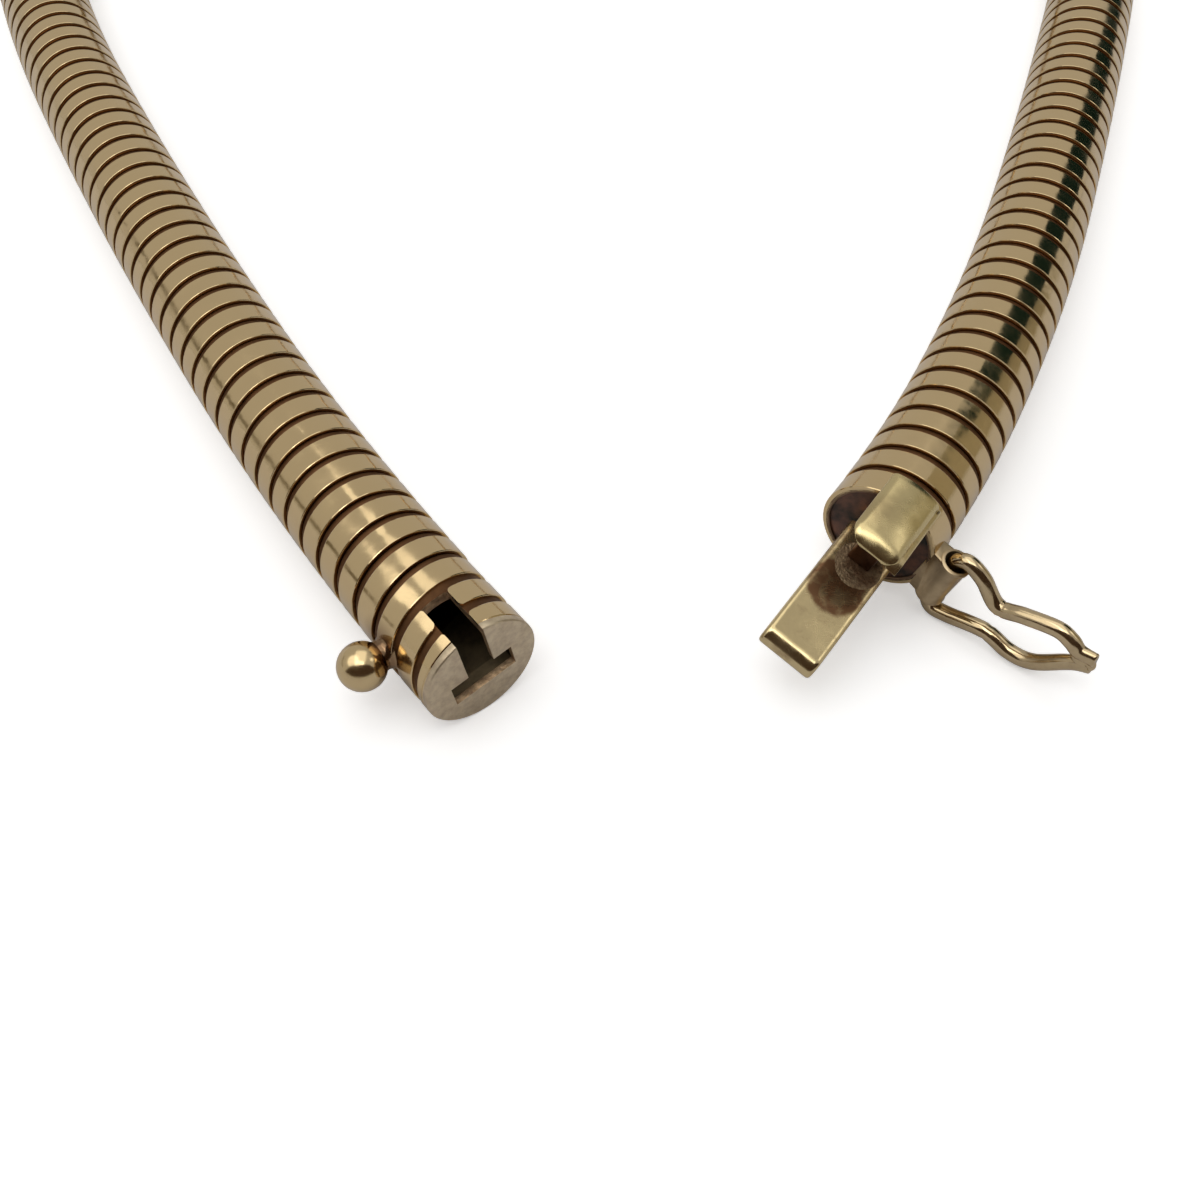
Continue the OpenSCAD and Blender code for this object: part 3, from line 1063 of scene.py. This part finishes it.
# The press leaf
# The tongue is one strip folded back over itself, and its upper half springs up as a leaf. A stem
# soldered on the leaf carries the thumb tab, a thin curved strip with a domed pad on it.
LEAF_HIGH = 0.68
LEAF_GAP = 0.75
LEAF_EDGE = 0.24
leaf_rise = (LEAF_HIGH - TONGUE_LOW - 2 * NOSE_R) / (NOSE_X - LEAF_GAP)


def leaf_height(x):
    """How high the leaf's upper face is at a distance before the end plate."""
    return TONGUE_LOW + 2 * NOSE_R + leaf_rise * (NOSE_X - x)


def sheet_grid(name, columns, rows, place):
    """A curved sheet from a flat grid, with each point moved where place puts it."""
    deselect()
    bpy.ops.mesh.primitive_grid_add(x_subdivisions=columns, y_subdivisions=rows, size=1)
    made = bpy.context.object
    made.name = name
    for vertex in made.data.vertices:
        vertex.co = Vector(place(vertex.co.x + 0.5, 2 * vertex.co.y)) * MM
    return made


def close_sheet(made, thickness):
    sheet = made.modifiers.new("sheet", "SOLIDIFY")
    sheet.thickness = thickness * MM
    sheet.offset = -1
    apply_modifiers(made)


# The fold is turned down in three bends. How far each has turned, in degrees, and its radius
NOSE_BENDS = ((40, 0.9), (62, 1.2), (180, 0.66))
NOSE_START = 10.63
BEND_STEPS = 8
leaf_rows = [(LEAF_GAP, LEAF_HIGH), (6.0, leaf_height(6.0)), (NOSE_START, leaf_height(NOSE_START))]
tilt = math.atan(leaf_rise)
for until, radius in NOSE_BENDS:
    x, z = leaf_rows[-1]
    for step in range(1, BEND_STEPS + 1):
        turn = tilt + (math.radians(until) - tilt) * step / BEND_STEPS
        leaf_rows.append((
            x + radius * (math.sin(turn) - math.sin(tilt)),
            z - radius * (math.cos(tilt) - math.cos(turn)),
        ))
    tilt = turn


def leaf_place(u, v):
    """A point of the leaf, whose long edges are rolled over by the buff."""
    at = u * (len(leaf_rows) - 1)
    n = min(int(at + 0.001), len(leaf_rows) - 2)
    before, after = Vector(leaf_rows[n]), Vector(leaf_rows[n + 1])
    onward = (after - before).normalized()
    x, z = before + (after - before) * (at - n)
    across = math.sin(v * math.pi / 2)
    near_edge = max(0, LEAF_EDGE - TONGUE_W / 2 * (1 - abs(across)))
    fall = LEAF_EDGE - math.sqrt(LEAF_EDGE**2 - near_edge**2)
    return x + fall * onward.y, TONGUE_W / 2 * across, z - fall * onward.x


leaf = sheet_grid("leaf", len(leaf_rows) - 1, 20, leaf_place)
close_sheet(leaf, TONGUE_T)
smooth(leaf, 35)
leaf.data.materials.append(leaf_gold)
# The heat of soldering has browned the leaf from the plate down past the stem, in a rounded edge.
# The last spot is no stain but painted shade on the fold's front face.
# Place of each spot along and across the leaf, how far it is full, how far it reaches, how strong
for x, y, near, far, amount in (
    (5.75, -0.15, 1.7, 2.15, 0.95),
    (2.4, 0.0, 2.4, 3.6, 0.6),
    (6.8, -1.2, 0.1, 0.6, 0.5),
    # Painted shade, darkening the fold's front face
    (11.9, 0.0, 0.5, 1.6, 0.45),
):
    stain_and_shade_spot(leaf_gold, at_tongue @ Vector((x, y, leaf_height(min(x, 10.5)))), near, far, amount)

TAB_W = 3.86
TAB_SHIFT = 0.12
TAB_FRONT = 4.75
TAB_REAR = -1.25
TAB_STRIP_T = 0.14
# How far across the strip begins to show, and how far back its front lies under the pad
STRIP_SHOWN = 1.2
STRIP_TUCKED = 0.95
# Radius of the tab's upper side over the tube's axis, of the strip and of the pad on it
TAB_STRIP_R = 4.52
TAB_PAD_R = 4.8
SAG = 0.38
SAG_FROM = 1.5
SAG_LEN = 3.3
PAD_T = 0.12
PAD_FRONT = TAB_FRONT + 0.02
PAD_REAR = TAB_REAR + 0.04
PAD_HALF_W = 1.77
PAD_SHIFT = -0.04
PAD_NOSE = 1.0
NOSE_FALL = 0.44
PAD_LIP = 0.12
PAD_SIDE = 0.36
SIDE_CHAMFER = 0.15
SIDE_ROUND = 0.1
PAD_TAIL = 0.12
TAIL_ROUND = 0.04
# Radius of the pad's front corners, away from the hinge and on its side
PAD_CORNERS = (1.15, 0.8)
STEM_REAR = 2.0
STEM_FRONT = 3.3
STEM_HALF_W = 0.85


def tab_sag(x, y):
    """The tab is bent to the tube's round at the back and flattens out toward its front."""
    along = max(0, x - SAG_FROM) / SAG_LEN
    return SAG * along * along * max(0, 1 - (2 * y / TONGUE_W) ** 2)


def nose_fall(x):
    """The tab's front slopes down more and more."""
    return NOSE_FALL * min(1, max(0, 1 - (PAD_FRONT - x) / PAD_NOSE)) ** 1.7


def strip_place(u, v):
    """The strip shows only beside the pad, on the hinge's side, and at that front corner."""
    y = TAB_SHIFT + TAB_W / 2 * v
    hidden = min(1, max(0, STRIP_SHOWN - y) / 0.3)
    x = TAB_REAR + (TAB_FRONT - STRIP_TUCKED * hidden - TAB_REAR) * u
    if y < 0:
        y *= 0.93
    return x, y, math.sqrt(TAB_STRIP_R**2 - y * y) - tab_sag(x, y) - nose_fall(x)


def pad_place(u, v):
    """Rounded front corners in plan, rolled sides, and a full round nose that laps the strip."""
    corner = PAD_CORNERS[0 if v < 0 else 1]
    x = PAD_FRONT - (PAD_FRONT - PAD_REAR) * (1 - u) ** 1.5
    half_here = PAD_HALF_W
    if x > PAD_FRONT - corner:
        past = x - PAD_FRONT + corner
        half_here += math.sqrt(max(0, corner**2 - past**2)) - corner
    across = math.sin(v * math.pi / 2)
    y = PAD_SHIFT + half_here * across
    side = min(1, half_here * (1 - abs(across)) / PAD_SIDE)
    tail = min(1, (x - PAD_REAR) / PAD_TAIL)
    # The front ends in a small round, and the sides in a narrow chamfer
    lip = min(1, max(0, 1 - (PAD_FRONT - x) / PAD_NOSE))
    front_fall = nose_fall(x) + PAD_LIP * (1 - math.sqrt(1 - lip**10))
    flank = 1 - side
    fall = max(
        SIDE_CHAMFER * flank + SIDE_ROUND * (1 - math.sqrt(max(0, 1 - flank**4))),
        TAIL_ROUND * (1 - math.sqrt(max(0, 1 - (1 - tail) ** 2))),
    )
    fall = max(fall, front_fall) + 0.35 * min(fall, front_fall)
    return x, y, math.sqrt(TAB_PAD_R**2 - y * y) - tab_sag(x, y) - fall


tab_strip = sheet_grid("tab_strip", 24, 20, strip_place)
close_sheet(tab_strip, TAB_STRIP_T)
soften(tab_strip, 0.03)
smooth(tab_strip, 40)
pad = sheet_grid("tab_pad", 44, 32, pad_place)
close_sheet(pad, PAD_T)
smooth(pad, 50)
pad_gold = gold_material("pad_gold", (0.72, 0.58, 0.29), (0.3, 0.2, 0.1), -0.05, 0.2,
                         smudge=0.12, scratches=0.3, patches=0.6, patch_size=400, bump=0.6)
# Painted shade: a small dark lump stands for the shade in a pit beside the pad
pit_lump_shade = lump("painted_pit_shade", (0.15, 0.07, 0.1), (-1.0, 1.87, 4.13))

stem = block(
    "tab_stem",
    (STEM_REAR, -STEM_HALF_W, leaf_height(STEM_REAR) - 0.2),
    (STEM_FRONT, STEM_HALF_W, 4.3),
)
soften(stem, 0.15, segments=3)
smooth(stem, 40)
solder_foot = lump(
    "solder_foot", (1.7, 1.6, 0.016), (3.35, 0.15, leaf_height(3.35)), math.atan(leaf_rise)
)
for vertex in solder_foot.data.vertices:
    x, y = vertex.co.x / MM, vertex.co.y / MM
    vertex.co.z += 0.004 * MM * math.sin(5.1 * x + 1.3) * math.sin(4.3 * y + 0.4)
grey_solder = gold_material("grey_solder", (0.44, 0.33, 0.2), (0.14, 0.08, 0.04), 0.5, 0.4,
                            smudge=0.2, scratches=0.6, patches=2.0, patch_size=1300, bump=1.0,
                            grain=4500, crust=0.25)
foot_middle = at_tongue @ Vector((STEM_FRONT, 0.4, leaf_height(STEM_FRONT)))
stain_and_shade_spot(grey_solder, foot_middle, 0.9, 1.5, 0.5)
# The stem is painted dark brown, partly tarnish and partly painted shade for the shadow under the
# tab
stem_stain_and_shade = gold_material("stem_stain_and_shade", (0.26, 0.14, 0.08), (0.07, 0.035, 0.022), 0.6, 0.34,
                             smudge=0.2, scratches=0.3, patches=1.6, patch_size=700, bump=0.6)
# Painted shade: a darker patch on the pad's left half stands for the dimmer reflection there
stain_and_shade_spot(pad_gold, at_tongue @ Vector((2.2, -1.3, 4.6)), 0.4, 2.2, 0.4)
for piece, material in (
    (tab_strip, leaf_gold),
    (pad, pad_gold),
    (pit_lump_shade, chamber_shade),
    (stem, stem_stain_and_shade),
    (solder_foot, grey_solder),
):
    piece.data.materials.append(material)
press = solder_together("press_tongue", [leaf, tab_strip, pad, pit_lump_shade, stem, solder_foot])
put(press, at_tongue)
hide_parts("press_leaf")
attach(press, "press_leaf")


# The safety catch
# A round gold wire bent to a figure of eight, whose two ends turn in the hinge barrel. Its narrow
# waist snaps over the side ball, and at the tip both ends of the wire are soldered side by side.
WIRE_R = 0.55
# Places of the wire's middle, out from the hinge and along it
UPPER_WIRE = (
    (0, 0.9),
    (0, 1.4),
    (0, 2.1),
    (0.6, 2.65),
    (1.9, 2.4),
    (3.7, 1.4),
    (5.3, 2.35),
    (7.2, 3.4),
    (8.3, 3.4),
    (9.1, 3.15),
    (10.15, 3.48),
)
LOWER_WIRE = (
    (0, -0.9),
    (0, -1.4),
    (0, -2.2),
    (0.7, -2.8),
    (1.8, -2.45),
    (4.2, -1.2),
    (6.2, -1.15),
    (7.7, -0.4),
    (9.2, 1.85),
    (10.15, 2.75),
)
# How far the catch stands open, from the way the tongue points
OPEN_ANGLE = 84
# Where the pliers that set the waist have bitten the wire
PLIER_MARKS = ((4.0, 1.5), (4.4, -1.2))
# The wire's radius there, and how much less it is at its very end, as shares of WIRE_R
BITTEN = 0.93
FILED_END = 0.14
# From here to the tip the wire is pinched flatter
PINCH_FROM = 8.4
PINCH_LEN = 1.4
PINCH = 0.3


def smooth_path(points, steps):
    """A smooth curve through the points."""
    last = len(points) - 1
    path = []
    for n in range(last):
        p0, p1, p2, p3 = (
            Vector(points[min(last, max(0, n + k))]) for k in (-1, 0, 1, 2)
        )
        for k in range(steps):
            t = k / steps
            path.append(
                0.5 * (2 * p1 + (p2 - p0) * t + (2 * p0 - 5 * p1 + 4 * p2 - p3) * t * t
                       + (3 * p1 - p0 - 3 * p2 + p3) * t * t * t)
            )
    path.append(Vector(points[last]))
    return path


def bent_wire(name, points):
    curve = bpy.data.curves.new(name, "CURVE")
    curve.dimensions = "3D"
    curve.bevel_depth = WIRE_R * MM
    curve.bevel_resolution = 5
    curve.use_fill_caps = True
    path = smooth_path(points, 10)
    spline = curve.splines.new("POLY")
    spline.points.add(len(path) - 1)
    for n, place in enumerate(path):
        spline.points[n].co = (place[0] * MM, 0, place[1] * MM, 1)
        bite = min((place - Vector(mark)).length for mark in PLIER_MARKS)
        spline.points[n].radius = BITTEN if bite < 0.12 else 1
    spline.points[-1].radius -= FILED_END
    made = bpy.data.objects.new(name, curve)
    bpy.context.scene.collection.objects.link(made)
    make_active(made)
    bpy.ops.object.convert(target="MESH")
    made = bpy.context.object
    close_ends(made)
    return made


upper_wire = bent_wire("upper_wire", UPPER_WIRE)
lower_wire = bent_wire("lower_wire", LOWER_WIRE)
tip_solder = lump("tip_solder", (0.85, 0.5, 0.75), (9.62, 0, 2.8))
wire = solder_together("catch_wire", [upper_wire, lower_wire, tip_solder])
for vertex in wire.data.vertices:
    pinch = min(1, max(0, (vertex.co.x / MM - PINCH_FROM) / PINCH_LEN))
    vertex.co.y *= 1 - PINCH * pinch
smooth(wire, 50)
wire_gold = gold_material("wire_gold", (0.68, 0.53, 0.31), (0.2, 0.12, 0.062), 0.15, 0.1,
                          smudge=0.12, scratches=0.4, patches=1.1, patch_size=500, bump=0.7)
wire.data.materials.clear()
wire.data.materials.append(wire_gold)
put(wire, at_tongue @ at_barrel @ Matrix.Rotation(math.radians(OPEN_ANGLE), 4, "Z"))
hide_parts("safety_catch")
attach(wire, "safety_catch")


# The loop guide was only an aid and isn't part of the necklace
bpy.data.objects.remove(loop_guide)

deselect()
